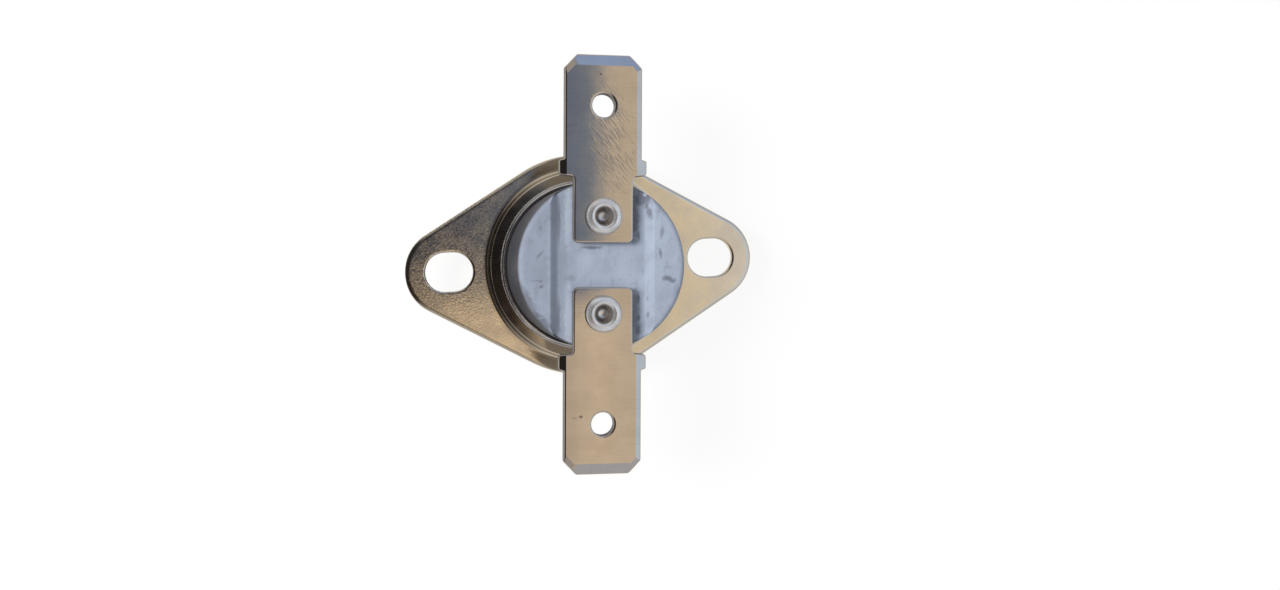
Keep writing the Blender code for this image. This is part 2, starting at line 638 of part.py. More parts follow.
def make_fixed_contact_plate(finish, parts, tools):
    """The strip under the upper rivet, bent down and back below the arm's free end."""
    head = STRIP_TOP - STRIP_THICKNESS / 2
    foot = STRIP_FOOT_TOP - STRIP_THICKNESS / 2
    bend = STRIP_THICKNESS
    path = rounded([
        (STRIP_INNER_END, head, 0),
        (STRIP_LEG_PLACE, head, bend),
        (STRIP_LEG_PLACE, foot, bend),
        (STRIP_INNER_END, foot, 0),
    ], steps=4, closed=False)
    section = strip_section(path, STRIP_THICKNESS)
    strip = extruded("fixed_contact_plate", [section], STRIP_WIDTH, finish, parts)
    stand_up(strip, STRIP_WIDTH, "Y")
    hole = rod("strip hole", RIVET_SHANK + RIVET_HOLE_PLAY, head - ABOVE / 2, head + ABOVE / 2, tools)
    hole.location.y = RIVET_PLACE
    cut(strip, hole)


def main():
    for old in list(bpy.data.objects):
        bpy.data.objects.remove(old)
    parts = collection("thermal cutoff")
    tools = collection("cutters")

    ceramic = material("ceramic", (0.62, 0.66, 0.74), 0.55, 0.0)
    tinned = material("tinned tab", (0.66, 0.58, 0.49), 0.32, 1.0)
    nickel = material("nickel plate", (0.62, 0.56, 0.47), 0.3, 1.0)
    cap_metal = material("cap metal", (0.72, 0.72, 0.72), 0.35, 1.0)
    rivet_metal = material("rivet metal", (0.75, 0.76, 0.78), 0.25, 1.0)
    spring = material("spring copper", (0.72, 0.47, 0.28), 0.3, 1.0)
    silver = material("contact silver", (0.85, 0.85, 0.84), 0.3, 1.0)
    steel = material("bimetal steel", (0.5, 0.5, 0.5), 0.35, 1.0)

    make_sensor_cap(cap_metal, parts)
    make_bimetal_disc(steel, parts)
    make_guide_plate(ceramic, parts)
    make_push_pin(ceramic, parts)
    make_ceramic_base(ceramic, parts, tools)
    make_mounting_bracket(nickel, parts, tools)
    make_terminals(tinned, parts, tools)
    make_rivet("rivet_upper", RIVET_PLACE, STRIP_TOP - STRIP_THICKNESS - SEAT, rivet_metal, parts)
    make_rivet("rivet_lower", -RIVET_PLACE, ARM_ROOT_TOP - ARM_THICKNESS - ARM_PLAY, rivet_metal, parts)
    make_contact_arm(spring, parts, tools)
    make_contact("moving_contact", MOVING_CONTACT_TOP, "bottom", silver, parts)
    make_fixed_contact_plate(spring, parts, tools)
    make_contact("fixed_contact", FIXED_CONTACT_TOP, "top", silver, parts)


main()
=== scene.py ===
"""The looks of a snap-disc thermal cutoff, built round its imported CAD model."""
import math

import bmesh
import bpy
from mathutils import Matrix, Vector


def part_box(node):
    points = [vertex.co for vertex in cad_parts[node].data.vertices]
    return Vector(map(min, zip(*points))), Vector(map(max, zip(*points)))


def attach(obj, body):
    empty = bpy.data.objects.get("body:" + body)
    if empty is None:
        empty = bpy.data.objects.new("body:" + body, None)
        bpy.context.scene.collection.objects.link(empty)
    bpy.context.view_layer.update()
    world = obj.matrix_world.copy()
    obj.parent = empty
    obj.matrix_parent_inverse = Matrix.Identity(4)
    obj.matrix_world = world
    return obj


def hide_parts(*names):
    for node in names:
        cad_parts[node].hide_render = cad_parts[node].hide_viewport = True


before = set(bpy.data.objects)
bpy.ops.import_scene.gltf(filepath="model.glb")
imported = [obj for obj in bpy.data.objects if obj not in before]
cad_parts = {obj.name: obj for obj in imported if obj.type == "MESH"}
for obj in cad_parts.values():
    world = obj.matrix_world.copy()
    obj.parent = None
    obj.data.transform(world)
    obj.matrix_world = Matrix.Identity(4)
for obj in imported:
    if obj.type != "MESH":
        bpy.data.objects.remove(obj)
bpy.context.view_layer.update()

MM = 0.001                  # sizes below are in millimetres

# The photograph's camera, from a fit of the outline: angles in radians, distance in mm, places in pixels
IMAGE_WIDTH = 1280
IMAGE_HEIGHT = 590
FOCAL = 957.78
LENS_PIXEL = (528.66, 274.12)   # where the lens points. The photograph is cropped off this centre
AXIS_PIXEL = (582.24, 264.64)   # where the body's axis meets the plate's top
CAMERA_DISTANCE = 85.0
CAMERA_LEAN = 0.1435        # to the left
CAMERA_TILT = 0.0142
CAMERA_ROLL = -0.0026
SENSOR = 36.0

FLOOR_RADIUS = 900
FLOOR_DROP = 0.02           # below the sensing face, so that the two don't share a plane


def span(node):
    """A CAD node's lowest and highest corners, in millimetres."""
    low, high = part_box(node)
    return low / MM, high / MM


tab_low, tab_high = span("terminal_upper")
base_low, base_high = span("ceramic_base")
cap_high = span("sensor_cap")[1]
plate_low, plate_high = span("mounting_bracket")
rivet_low, rivet_high = span("rivet_upper")

# Levels, from the sensing face up
BRACKET_SHEET = 0.5
COLLAR_TOP = plate_high.z
BRACKET_UNDERSIDE = plate_low.z
BRACKET_TOP = BRACKET_UNDERSIDE + BRACKET_SHEET
CAP_SHEET = 0.22
LIP_TOP = cap_high.z
LIP_UNDERSIDE = LIP_TOP - CAP_SHEET
CAP_PLAY = 0.15             # from the cap's bulge up to the collar
BULGE_TOP = COLLAR_TOP - BRACKET_SHEET - CAP_PLAY
FOOT_BOTTOM = base_low.z
FOOT_HEIGHT = 0.77
FOOT_TOP = FOOT_BOTTOM + FOOT_HEIGHT
CHAMBER_CEILING = 8.7
BODY_TOP = base_high.z
CHANNEL_DEPTH = 0.63
CHANNEL_FLOOR = BODY_TOP - CHANNEL_DEPTH
TAB_BOTTOM = tab_low.z
TAB_TOP = tab_high.z
RIVET_HEAD = 0.5
RIVET_TOP = rivet_high.z
RIVET_SEAT = RIVET_TOP - RIVET_HEAD

# Radii, with the steps and gaps between them
CAP_NECK_STEP = 0.5
CAP_FACE_STEP = 0.35
CAP_BULGE_RADIUS = cap_high.x
CAP_NECK_RADIUS = CAP_BULGE_RADIUS - CAP_NECK_STEP
CAP_FACE_RADIUS = CAP_BULGE_RADIUS - CAP_FACE_STEP
CAP_FACE_HEIGHT = 1.25
CAP_SHOULDER = 0.25
LIP_OVERHANG = 0.25
FOOT_RADIUS = base_high.x
BODY_GAP = 0.06
BODY_RADIUS = CAP_NECK_RADIUS - CAP_SHEET - BODY_GAP
CHAMBER_RADIUS = 5.9
COLLAR_WIDTH = 0.8          # past the cap's bulge
COLLAR_RADIUS = CAP_BULGE_RADIUS + COLLAR_WIDTH
COLLAR_GAP = 0.1
COLLAR_HOLE = CAP_NECK_RADIUS + COLLAR_GAP
COLLAR_DRAFT = 0.25
COLLAR_CROWN = 0.12

# Bracket
BRACKET_TURN = math.radians(3.3)
SLOT_PLACE = 11.8
SLOT_LENGTH = 4.15
SLOT_WIDTH = 3.4
END_RADIUS = 3.83
MIDDLE_RADIUS = 9.75

# Tabs, rivets and channel
TAB_HALF = 3.15
TAB_TIP = tab_high.y
TAB_CORNER = (1.0, 1.05)
TAB_EAR = tab_high.x
TAB_EAR_START = 7.2
TAB_EAR_END = 8.35
TAB_EAR_SLOPE = 0.12
TAB_NECK = 2.4
TAB_NECK_END = tab_low.y
TAB_HOLE_PLACE = TAB_TIP - 4.06
TAB_HOLE_RADIUS = 0.94
TIP_BEVEL = (0.9, 0.2)      # width and depth
WIDE_BEVEL = (0.45, 0.11)
NARROW_BEVEL = (0.14, 0.05)
CORNER_BEVEL = (0.5, 0.115)
RIVET_PLACE = (rivet_low.y + rivet_high.y) / 2
RIVET_HOLE = 0.92
RIVET_SHANK = 0.8
RIVET_TAIL = 1.2
RIVET_TAIL_HEIGHT = 0.34
RIVET_TAIL_CHAMFER = 0.1
RIVET_BORE_DEPTH = 1.25
CHANNEL_HALF = 3.5          # at its floor
CHANNEL_SLOPE = 0.9         # how far each wall leans out

# Rolled edges: how wide and how deep each roll is
BRACKET_ROLL = (0.42, 0.15)
SLOT_ROLL = (0.2, 0.12)
TAB_ROLL = (0.1, 0.08)
TAB_HOLE_ROLL = (0.16, 0.12)

# Marks, in mm: place, half width, half height, then the turn and how strong it is, or only how strong
TAB_PITS = (
    (-1.82, -12.1, 0.16, 0.12, 0.75),
    (-2.3, -12.2, 0.2, 0.05, 0.4),
    (-0.29, 15.2, 0.1, 0.08, 0.7),
)
# Dark marks on the ceramic: real dirt, and painted shadow beside the tabs' necks and along the lower left
# edge
CERAMIC_DIRT_AND_SHADE = (
    (-5.05, 2.93, 0.14, 0.16, 0.0, 0.3),
    (-5.13, 0.79, 0.4, 0.12, 0.8, 0.35),
    (-5.5, -1.25, 0.4, 0.06, 0.1, 0.3),
    (-5.05, -1.3, 0.16, 0.12, 0.6, 0.5),
    (-5.0, -1.75, 0.16, 0.14, 0.6, 0.5),
    (-4.75, -4.75, 1.1, 0.35, -0.8, 0.6),
    (-5.95, -3.1, 1.5, 0.35, -1.1, 0.55),
    (-3.5, -4.2, 0.16, 1.3, 0.0, 0.5),
    (-3.5, 3.4, 0.16, 1.6, 0.0, 0.5),
    (-0.8, 1.42, 0.75, 0.12, 0.0, 0.65),
    (-2.62, -1.04, 0.35, 0.28, 0.0, 0.25),
    (3.1, 2.37, 0.1, 0.3, 0.0, 0.55),
    (3.1, -2.67, 0.1, 0.35, 0.1, 0.5),
    (3.13, -4.3, 0.12, 0.25, 0.0, 0.55),
    (3.13, -5.25, 0.2, 0.4, 0.0, 0.55),
    (3.8, -2.7, 0.08, 0.25, 0.0, 0.35),
    (3.85, -3.97, 0.08, 0.25, 0.0, 0.4),
    (3.3, 5.5, 0.75, 0.7, 0.0, 0.6),
    (3.9, 4.3, 0.16, 0.6, 0.3, 0.55),
    (2.75, 3.8, 0.3, 1.6, 0.0, 0.6),
    (2.85, -3.8, 0.35, 1.7, 0.0, 0.45),
    (4.75, 1.0, 0.12, 0.35, 0.15, 0.55),
    (4.85, 2.6, 0.16, 0.5, -0.2, 0.4),
    (5.45, -1.1, 0.5, 0.2, -0.15, 0.6),
    (5.8, -1.3, 0.2, 0.12, 0.9, 0.35),
    (5.44, -0.14, 0.35, 0.12, 0.0, 0.18),
    (6.3, 0.5, 0.1, 0.35, 0.2, 0.18),
)
# Light marks on the ceramic: painted light beside the tabs' necks and on the channel's left wall, and one
# clean spot
CERAMIC_CLEAN_AND_PAINTED_LIGHT = (
    (3.59, 5.72, 0.13, 0.13, 0.0, 0.8),
    (-2.7, 4.2, 0.3, 2.6, 0.0, 0.65),
    (-2.7, -4.3, 0.3, 2.6, 0.0, 0.65),
    (-3.95, 0.0, 0.4, 7.0, 0.0, 0.4),
)

# Facets round a circle
LARGE_FACETS = 192
SMALL_FACETS = 96
HOLE_FACETS = 72
BORE_FACETS = 48

SHARP_ANGLE = math.radians(40)
CERAMIC_SHARP_ANGLE = math.radians(35)
SUPPORT = 0.06              # from a roll to the ring that keeps the face beside it flat


def rounded(corners, steps=8, closed=True):
    """Points along a path whose corners are given as (x, y, radius)."""
    points = []
    count = len(corners)
    for index, (x, y, radius) in enumerate(corners):
        if radius == 0 or (not closed and index in (0, count - 1)):
            points.append((x, y))
            continue
        before = corners[index - 1]
        after = corners[(index + 1) % count]
        into = math.atan2(y - before[1], x - before[0])
        turn = math.remainder(math.atan2(after[1] - y, after[0] - x) - into, math.tau)
        reach = radius * math.tan(abs(turn) / 2)
        side = math.copysign(1, turn)
        centre_x = x - reach * math.cos(into) - side * radius * math.sin(into)
        centre_y = y - reach * math.sin(into) + side * radius * math.cos(into)
        for step in range(steps + 1):
            angle = into - side * math.pi / 2 + turn * step / steps
            points.append((centre_x + radius * math.cos(angle), centre_y + radius * math.sin(angle)))
    return points


def circle(x, y, radius, steps=SMALL_FACETS):
    """Points round a circle."""
    angles = [math.tau * step / steps for step in range(steps)]
    return [(x + radius * math.cos(angle), y + radius * math.sin(angle)) for angle in angles]


def to_object(name, work):
    """An object from a bmesh that is in millimetres."""
    bmesh.ops.recalc_face_normals(work, faces=work.faces)
    bmesh.ops.scale(work, vec=(MM, MM, MM), verts=work.verts)
    mesh = bpy.data.meshes.new(name)
    work.to_mesh(mesh)
    work.free()
    mesh.shade_smooth()
    made = bpy.data.objects.new(name, mesh)
    bpy.context.scene.collection.objects.link(made)
    return made


def lathe(name, profile, segments=LARGE_FACETS, centre=(0, 0)):
    """A profile of (radius, height) turned about an upright axis."""
    work = bmesh.new()
    loops = []
    for radius, height in profile:
        if radius < 1e-6:
            loops.append([work.verts.new((centre[0], centre[1], height))] * segments)
            continue
        loops.append([work.verts.new((x, y, height)) for x, y in circle(*centre, radius, segments)])
    for upper, lower in zip(loops, loops[1:]):
        for index in range(segments):
            after = (index + 1) % segments
            corners = []
            for corner in (upper[index], upper[after], lower[after], lower[index]):
                if corner not in corners:
                    corners.append(corner)
            if len(corners) > 2:
                work.faces.new(corners)
    return to_object(name, work)


def sheet_piece(name, outer, holes, adjust=None):
    """A flat piece. outer and each hole are rings of (points, height), from the top to the bottom."""
    work = bmesh.new()
    stacks = []
    for rings in [outer] + holes:
        stack = []
        for points, height in rings:
            stack.append([work.verts.new((x, y, height)) for x, y in points])
        for upper, lower in zip(stack, stack[1:]):
            for index in range(len(upper)):
                after = (index + 1) % len(upper)
                work.faces.new((upper[index], upper[after], lower[after], lower[index]))
        stacks.append(stack)
    for level in (0, -1):
        edges = []
        for stack in stacks:
            loop = stack[level]
            for index in range(len(loop)):
                edges.append(work.edges.get((loop[index], loop[(index + 1) % len(loop)])))
        bmesh.ops.triangle_fill(work, use_beauty=True, edges=edges, normal=(0, 0, 1 if level == 0 else -1))
    if adjust:
        adjust(work)
    for edge in work.edges:
        if edge.calc_face_angle(0.0) > SHARP_ANGLE:
            edge.smooth = False
    return to_object(name, work)


def moved(points, angle):
    """Points turned about the axis."""
    cosine, sine = math.cos(angle), math.sin(angle)
    return [(cosine * x - sine * y, sine * x + cosine * y) for x, y in points]


def edge_roll(width, depth, steps=9):
    """Inset and drop of each ring over a rolled edge, from a ring on the flat face out to the side."""
    angles = [math.pi / 2 * step / steps for step in range(steps + 1)]
    roll = [(width * (1 - math.sin(angle)), depth * (1 - math.cos(angle))) for angle in angles]
    return [(width + SUPPORT, 0.0)] + roll


def sharpen(made, angle=SHARP_ANGLE):
    """Smooth shading with sharp corners."""
    made.data.set_sharp_from_angle(angle=angle)
    return made


def baked(made, modifiers):
    """Applies modifiers given as (kind, settings)."""
    for kind, settings in modifiers:
        modifier = made.modifiers.new(kind, kind)
        for key, value in settings.items():
            setattr(modifier, key, value)
    graph = bpy.context.evaluated_depsgraph_get()
    mesh = bpy.data.meshes.new_from_object(made.evaluated_get(graph))
    made.modifiers.clear()
    made.data = mesh
    return made


# Material nodes

def add(tree, kind, inputs=None, **settings):
    """A shader node with its settings and inputs, which are sockets or plain values."""
    made = tree.nodes.new("ShaderNode" + kind)
    for key, value in settings.items():
        setattr(made, key, value)
    for key, value in (inputs or {}).items():
        if isinstance(value, bpy.types.NodeSocket):
            tree.links.new(value, made.inputs[key])
        else:
            made.inputs[key].default_value = value
    return made


def maths(tree, operation, a, b=0.0, clamp=False):
    """One sum of two values."""
    return add(tree, "Math", {0: a, 1: b}, operation=operation, use_clamp=clamp).outputs[0]


def mixed(tree, factor, a, b, blend="MIX"):
    """One colour laid over another."""
    made = add(tree, "Mix", {"Factor": factor, 6: a, 7: b}, data_type="RGBA", blend_type=blend)
    return made.outputs[2]


def eased(tree, value, low, high, start=0.0, end=1.0):
    """The value mapped smoothly from one range to another."""
    inputs = {0: value, 1: low, 2: high, 3: start, 4: end}
    return add(tree, "MapRange", inputs, interpolation_type="SMOOTHSTEP").outputs[0]


def noise(tree, place, size, detail=3.0, rough=0.5):
    """A noise whose lumps are about the given size in millimetres."""
    inputs = {"Vector": place, "Scale": 1.0 / size, "Detail": detail, "Roughness": rough}
    return add(tree, "TexNoise", inputs).outputs["Fac"]


def stretched(tree, place, scale, turn=0.0):
    """Coordinates stretched by a scale and turned about Z."""
    turned = add(tree, "Mapping", {"Vector": place, "Rotation": (0, 0, turn)})
    return add(tree, "Mapping", {"Vector": turned.outputs[0], "Scale": scale}).outputs[0]


def length_of(tree, vector):
    """How long a vector is."""
    return add(tree, "VectorMath", {0: vector}, operation="LENGTH").outputs["Value"]


def off_axis(tree, place):
    """How far a place is from the body's axis."""
    return length_of(tree, stretched(tree, place, (1, 1, 0)))


def ramp(tree, value, stops):
    """Colours along a value, given as (value, colour)."""
    low, high = stops[0][0], stops[-1][0]
    share = add(tree, "MapRange", {0: value, 1: low, 2: high, 3: 0.0, 4: 1.0}).outputs[0]
    made = add(tree, "ValToRGB", {0: share})
    marks = made.color_ramp.elements
    for index, (at, colour) in enumerate(stops):
        place = (at - low) / (high - low)
        if index < 2:
            marks[index].position = place
        else:
            marks.new(place)
        marks[index].color = (*colour, 1.0)
    return made.outputs[0]


def blot(tree, place, ragged, x, y, width, height, turn=0.0, soft=0.35):
    """A spot on the face seen from above, 1 in its middle, with an edge made ragged by a noise."""
    shifted = add(tree, "Mapping", {"Vector": place, "Location": (-x, -y, 0)}).outputs[0]
    turned = add(tree, "Mapping", {"Vector": shifted, "Rotation": (0, 0, -turn)}).outputs[0]
    flat = add(tree, "Mapping", {"Vector": turned, "Scale": (1 / width, 1 / height, 0)}).outputs[0]
    swing = maths(tree, "MULTIPLY", maths(tree, "SUBTRACT", ragged, 0.5), 1.6)
    wavy = maths(tree, "ADD", length_of(tree, flat), swing)
    return eased(tree, wavy, 1.0 - soft, 1.0 + soft, 1.0, 0.0)


def axes(tree, place):
    """The x, y and z of a place."""
    parts = add(tree, "SeparateXYZ", {0: place})
    return parts.outputs["X"], parts.outputs["Y"], parts.outputs["Z"]


def bumped(tree, layers):
    """A chain of bumps, given as (height, distance in millimetres, strength)."""
    normal = None
    for height, distance, strength in layers:
        inputs = {"Height": height, "Distance": distance * MM, "Strength": strength}
        if normal is not None:
            inputs["Normal"] = normal
        normal = add(tree, "Bump", inputs).outputs[0]
    return normal


def new_material(name, metallic, specular=0.5):
    """An empty Principled material, with its tree and its place in millimetres."""
    made = bpy.data.materials.new(name)
    made.use_nodes = True
    tree = made.node_tree
    shader = tree.nodes["Principled BSDF"]
    shader.inputs["Metallic"].default_value = metallic
    shader.inputs["Specular IOR Level"].default_value = specular
    where = add(tree, "TexCoord").outputs["Object"]
    place = add(tree, "Mapping", {"Vector": where, "Scale": (1 / MM, 1 / MM, 1 / MM)}).outputs[0]
    return made, tree, shader, place


def wire(tree, shader, colour=None, roughness=None, normal=None):
    """Connects a finish to its shader."""
    for name, socket in (("Base Color", colour), ("Roughness", roughness), ("Normal", normal)):
        if socket is not None:
            tree.links.new(socket, shader.inputs[name])


def rgb(red, green, blue):
    """An opaque colour."""
    return (red, green, blue, 1.0)


def nickel_finish():
    """Bright plating on a pressed sheet. Its orange peel is coarser and darker towards the left end, and its
    collar is darkened on the left by a painted dark reflection."""
    made, tree, shader, place = new_material("nickel plate", 1.0)
    x, y, _ = axes(tree, place)
    left = eased(tree, x, -3.0, -11.5)
    cloud = eased(tree, noise(tree, place, 4.0, 3.0), 0.35, 0.65)
    tone = mixed(tree, cloud, rgb(0.68, 0.60, 0.475), rgb(0.62, 0.555, 0.45))
    fleck = eased(tree, noise(tree, place, 0.15, 2.0, 0.6), 0.44, 0.64)
    worn = maths(tree, "MULTIPLY", left, eased(tree, y, -5.2, -1.5))
    depth = maths(tree, "ADD", maths(tree, "MULTIPLY", worn, 0.6), 0.05)
    tone = mixed(tree, maths(tree, "MULTIPLY", fleck, depth), tone, rgb(0.13, 0.135, 0.15))
    # Painted dark reflection: the collar's left side is darkened
    collar = eased(tree, off_axis(tree, place), 9.0, 8.4)
    painted_collar_reflection = maths(tree, "MULTIPLY", eased(tree, x, -3.0, -6.5), collar)
    tone = mixed(tree, maths(tree, "MULTIPLY", painted_collar_reflection, 0.65), tone, rgb(0.15, 0.12, 0.11))
    rough = eased(tree, noise(tree, place, 1.3, 3.0), 0.3, 0.7, 0.12, 0.2)
    height = maths(tree, "ADD", maths(tree, "MULTIPLY", left, 0.7), 0.3)
    peel = maths(tree, "MULTIPLY", noise(tree, place, 0.17, 1.0), height)
    normal = bumped(tree, [(peel, 0.005, 1.0), (noise(tree, place, 0.1, 2.0), 0.001, 1.0)])
    wire(tree, shader, tone, rough, normal)
    return made


def tab_finish():
    """Rolled, plated sheet: fine lines, scratches on one tab, pits, dull cut edges and a painted shade that
    darkens the underside.
    """
    made, tree, shader, place = new_material("tinned tab", 1.0)
    z = axes(tree, place)[2]
    ragged = noise(tree, place, 0.35, 3.0)
    cloud = noise(tree, place, 2.2, 4.0, 0.55)
    tone = mixed(tree, eased(tree, cloud, 0.3, 0.7), rgb(0.575, 0.50, 0.425), rgb(0.515, 0.445, 0.375))
    across = noise(tree, stretched(tree, place, (0.6, 9.0, 1.0)), 1.0, 2.0)
    along = noise(tree, stretched(tree, place, (9.0, 0.35, 1.0)), 1.0, 2.0)
    tone = mixed(tree, eased(tree, across, 0.5, 0.75, 0.0, 0.16), tone, rgb(0.30, 0.26, 0.23))
    tone = mixed(tree, eased(tree, along, 0.55, 0.8, 0.0, 0.12), tone, rgb(0.33, 0.30, 0.27))
    scratch = noise(tree, stretched(tree, place, (7.5, 0.9, 1.0), math.radians(-40)), 1.0, 2.0)
    zone = blot(tree, place, ragged, 1.1, 9.8, 1.5, 3.2, 0.2, 0.8)
    cut = maths(tree, "MULTIPLY", eased(tree, scratch, 0.48, 0.66), zone)
    tone = mixed(tree, maths(tree, "MULTIPLY", cut, 0.2), tone, rgb(0.28, 0.25, 0.22))
    for spot_x, spot_y, width, height, depth in TAB_PITS:
        pit = blot(tree, place, ragged, spot_x, spot_y, width, height)
        tone = mixed(tree, maths(tree, "MULTIPLY", pit, depth), tone, rgb(0.12, 0.10, 0.09))
    # Painted shade: the tab is darkened near its underside
    underside_shade = eased(tree, z, TAB_BOTTOM + 0.35, TAB_BOTTOM + 0.1)
    tone = mixed(tree, maths(tree, "MULTIPLY", underside_shade, 0.75), tone, rgb(0.13, 0.12, 0.11))
    facing = axes(tree, add(tree, "NewGeometry").outputs["True Normal"])[2]
    cut_edge = eased(tree, maths(tree, "ABSOLUTE", facing), 0.5, 0.2)
    tone = mixed(tree, maths(tree, "MULTIPLY", cut_edge, 0.8), tone, rgb(0.10, 0.095, 0.095))
    rough = eased(tree, noise(tree, place, 0.9, 4.0), 0.3, 0.7, 0.04, 0.075)
    rough = maths(tree, "ADD", rough, maths(tree, "MULTIPLY", cut_edge, 0.5))
    tree.links.new(maths(tree, "SUBTRACT", 1.0, cut_edge), shader.inputs["Metallic"])
    wave = noise(tree, place, 0.9, 2.0)
    normal = bumped(tree, [(across, 0.0007, 1.0), (cut, 0.002, 1.0), (wave, 0.001, 1.0)])
    wire(tree, shader, tone, rough, normal)
    return made


def plain_metal(name, light, dark, low, high):
    """A metal with clouds in its colour and gloss."""
    made, tree, shader, place = new_material(name, 1.0)
    cloud = noise(tree, place, 1.5, 4.0)
    tone = mixed(tree, eased(tree, cloud, 0.3, 0.7), rgb(*light), rgb(*dark))
    rough = eased(tree, noise(tree, place, 0.6, 3.0), 0.3, 0.7, low, high)
    wire(tree, shader, tone, rough, bumped(tree, [(noise(tree, place, 0.3, 3.0), 0.006, 0.6)]))
    return made


def rivet_finish():
    """Dull bright plating, with painted brown shade down in the hollow and a painted highlight at its
    bottom.
    """
    made, tree, shader, place = new_material("rivet metal", 0.8)
    x, y, z = axes(tree, place)
    cloud = noise(tree, place, 0.8, 4.0)
    tone = mixed(tree, eased(tree, cloud, 0.3, 0.7), rgb(0.80, 0.80, 0.81), rgb(0.66, 0.645, 0.63))
    off = maths(tree, "SUBTRACT", maths(tree, "ABSOLUTE", y), RIVET_PLACE)
    radius = length_of(tree, add(tree, "CombineXYZ", {"X": x, "Y": off}).outputs[0])
    depth = maths(tree, "SUBTRACT", RIVET_TOP, z)
    # Painted shade: brown in the hollow below the rim
    hollow_shade = maths(tree, "MULTIPLY", eased(tree, depth, 0.1, 0.35), eased(tree, radius, 0.8, 0.7))
    tone = mixed(tree, maths(tree, "MULTIPLY", hollow_shade, 0.6), tone, rgb(0.30, 0.235, 0.19))
    # Painted highlight: the bore's bottom is lightened
    painted_bottom_highlight = maths(tree, "MULTIPLY", eased(tree, radius, 0.5, 0.25), eased(tree, depth, 0.8, 1.1))
    tone = mixed(tree, maths(tree, "MULTIPLY", painted_bottom_highlight, 0.9), tone, rgb(0.85, 0.84, 0.82))
    rough = eased(tree, noise(tree, place, 0.6, 3.0), 0.3, 0.7, 0.26, 0.38)
    wire(tree, shader, tone, rough, bumped(tree, [(noise(tree, place, 0.3, 3.0), 0.006, 0.6)]))
    return made


def ceramic_finish():
    """Pressed ceramic with smudges from handling and darker towards the left, with painted shade on its
    outer wall, strongest on the left.
    """
    made, tree, shader, place = new_material("ceramic", 0.0, 0.35)
    x, _, z = axes(tree, place)
    ragged = noise(tree, place, 0.35, 3.0)
    cloud = noise(tree, place, 2.6, 5.0, 0.6)
    tone = mixed(tree, eased(tree, cloud, 0.3, 0.7), rgb(0.455, 0.52, 0.64), rgb(0.365, 0.415, 0.515))
    smear = eased(tree, noise(tree, stretched(tree, place, (1.6, 0.7, 1.0)), 1.0, 5.0, 0.65), 0.5, 0.72)
    tone = mixed(tree, maths(tree, "MULTIPLY", smear, 0.3), tone, rgb(0.19, 0.20, 0.25))
    tone = mixed(tree, eased(tree, x, -1.5, -3.5, 0.0, 0.3), tone, rgb(0.19, 0.205, 0.26))
    speck = eased(tree, noise(tree, place, 0.3, 4.0, 0.7), 0.6, 0.72)
    tone = mixed(tree, maths(tree, "MULTIPLY", speck, 0.26), tone, rgb(0.13, 0.13, 0.16))
    # Dark marks: real dirt, and painted shadow beside the necks and on the lower left edge
    for spot_x, spot_y, width, height, turn, depth in CERAMIC_DIRT_AND_SHADE:
        mask = blot(tree, place, ragged, spot_x, spot_y, width, height, turn, 0.6)
        tone = mixed(tree, maths(tree, "MULTIPLY", mask, depth), tone, rgb(0.085, 0.085, 0.11))
    # Light marks: painted light beside the necks and on the channel's left wall, and a clean spot
    for spot_x, spot_y, width, height, turn, depth in CERAMIC_CLEAN_AND_PAINTED_LIGHT:
        mask = blot(tree, place, ragged, spot_x, spot_y, width, height, turn, 0.6)
        tone = mixed(tree, maths(tree, "MULTIPLY", mask, depth), tone, rgb(0.56, 0.64, 0.77))
    # Painted shade on the outer wall below its top edge, strongest on the left
    below = eased(tree, z, BODY_TOP - 0.05, BODY_TOP - 0.5)
    outside = eased(tree, off_axis(tree, place), BODY_RADIUS - 0.2, BODY_RADIUS - 0.05)
    wall_shade = maths(tree, "MULTIPLY", below, outside)
    side = eased(tree, x, 5.0, -4.5, 0.2, 0.95)
    tone = mixed(tree, maths(tree, "MULTIPLY", wall_shade, side), tone, rgb(0.052, 0.05, 0.056))
    rough = eased(tree, noise(tree, place, 1.2, 3.0), 0.3, 0.7, 0.42, 0.6)
    grain = noise(tree, place, 0.12, 3.0)
    wave = noise(tree, place, 1.6, 2.0)
    normal = bumped(tree, [(grain, 0.004, 1.0), (wave, 0.012, 1.0)])
    wire(tree, shader, tone, rough, normal)
    return made


# The pieces

def bracket_outline(inset, fine=28):
    """Points round the bracket's outline, moved in by the inset, counterclockwise."""
    end = END_RADIUS - inset
    middle = MIDDLE_RADIUS - inset
    lean = math.asin((middle - end) / SLOT_PLACE)
    quarter = []
    for step in range(fine + 1):
        angle = (math.pi / 2 - lean) * step / fine
        quarter.append((SLOT_PLACE + end * math.cos(angle), end * math.sin(angle)))
    for step in range(fine // 2 + 1):
        angle = math.pi / 2 - lean + lean * step / (fine // 2)
        quarter.append((middle * math.cos(angle), middle * math.sin(angle)))
    half = quarter + [(-x, y) for x, y in reversed(quarter[:-1])]
    return half + [(x, -y) for x, y in reversed(half[1:-1])]


def slot_outline(place, grow, fine=24):
    """Points round a slot, made larger by grow."""
    reach = (SLOT_LENGTH - SLOT_WIDTH) / 2
    corner = SLOT_WIDTH / 2 + grow
    points = []
    for side, start in ((1, -90), (-1, 90)):
        for step in range(fine + 1):
            angle = math.radians(start + 180 * step / fine)
            points.append((place + side * reach + corner * math.cos(angle), corner * math.sin(angle)))
    return points


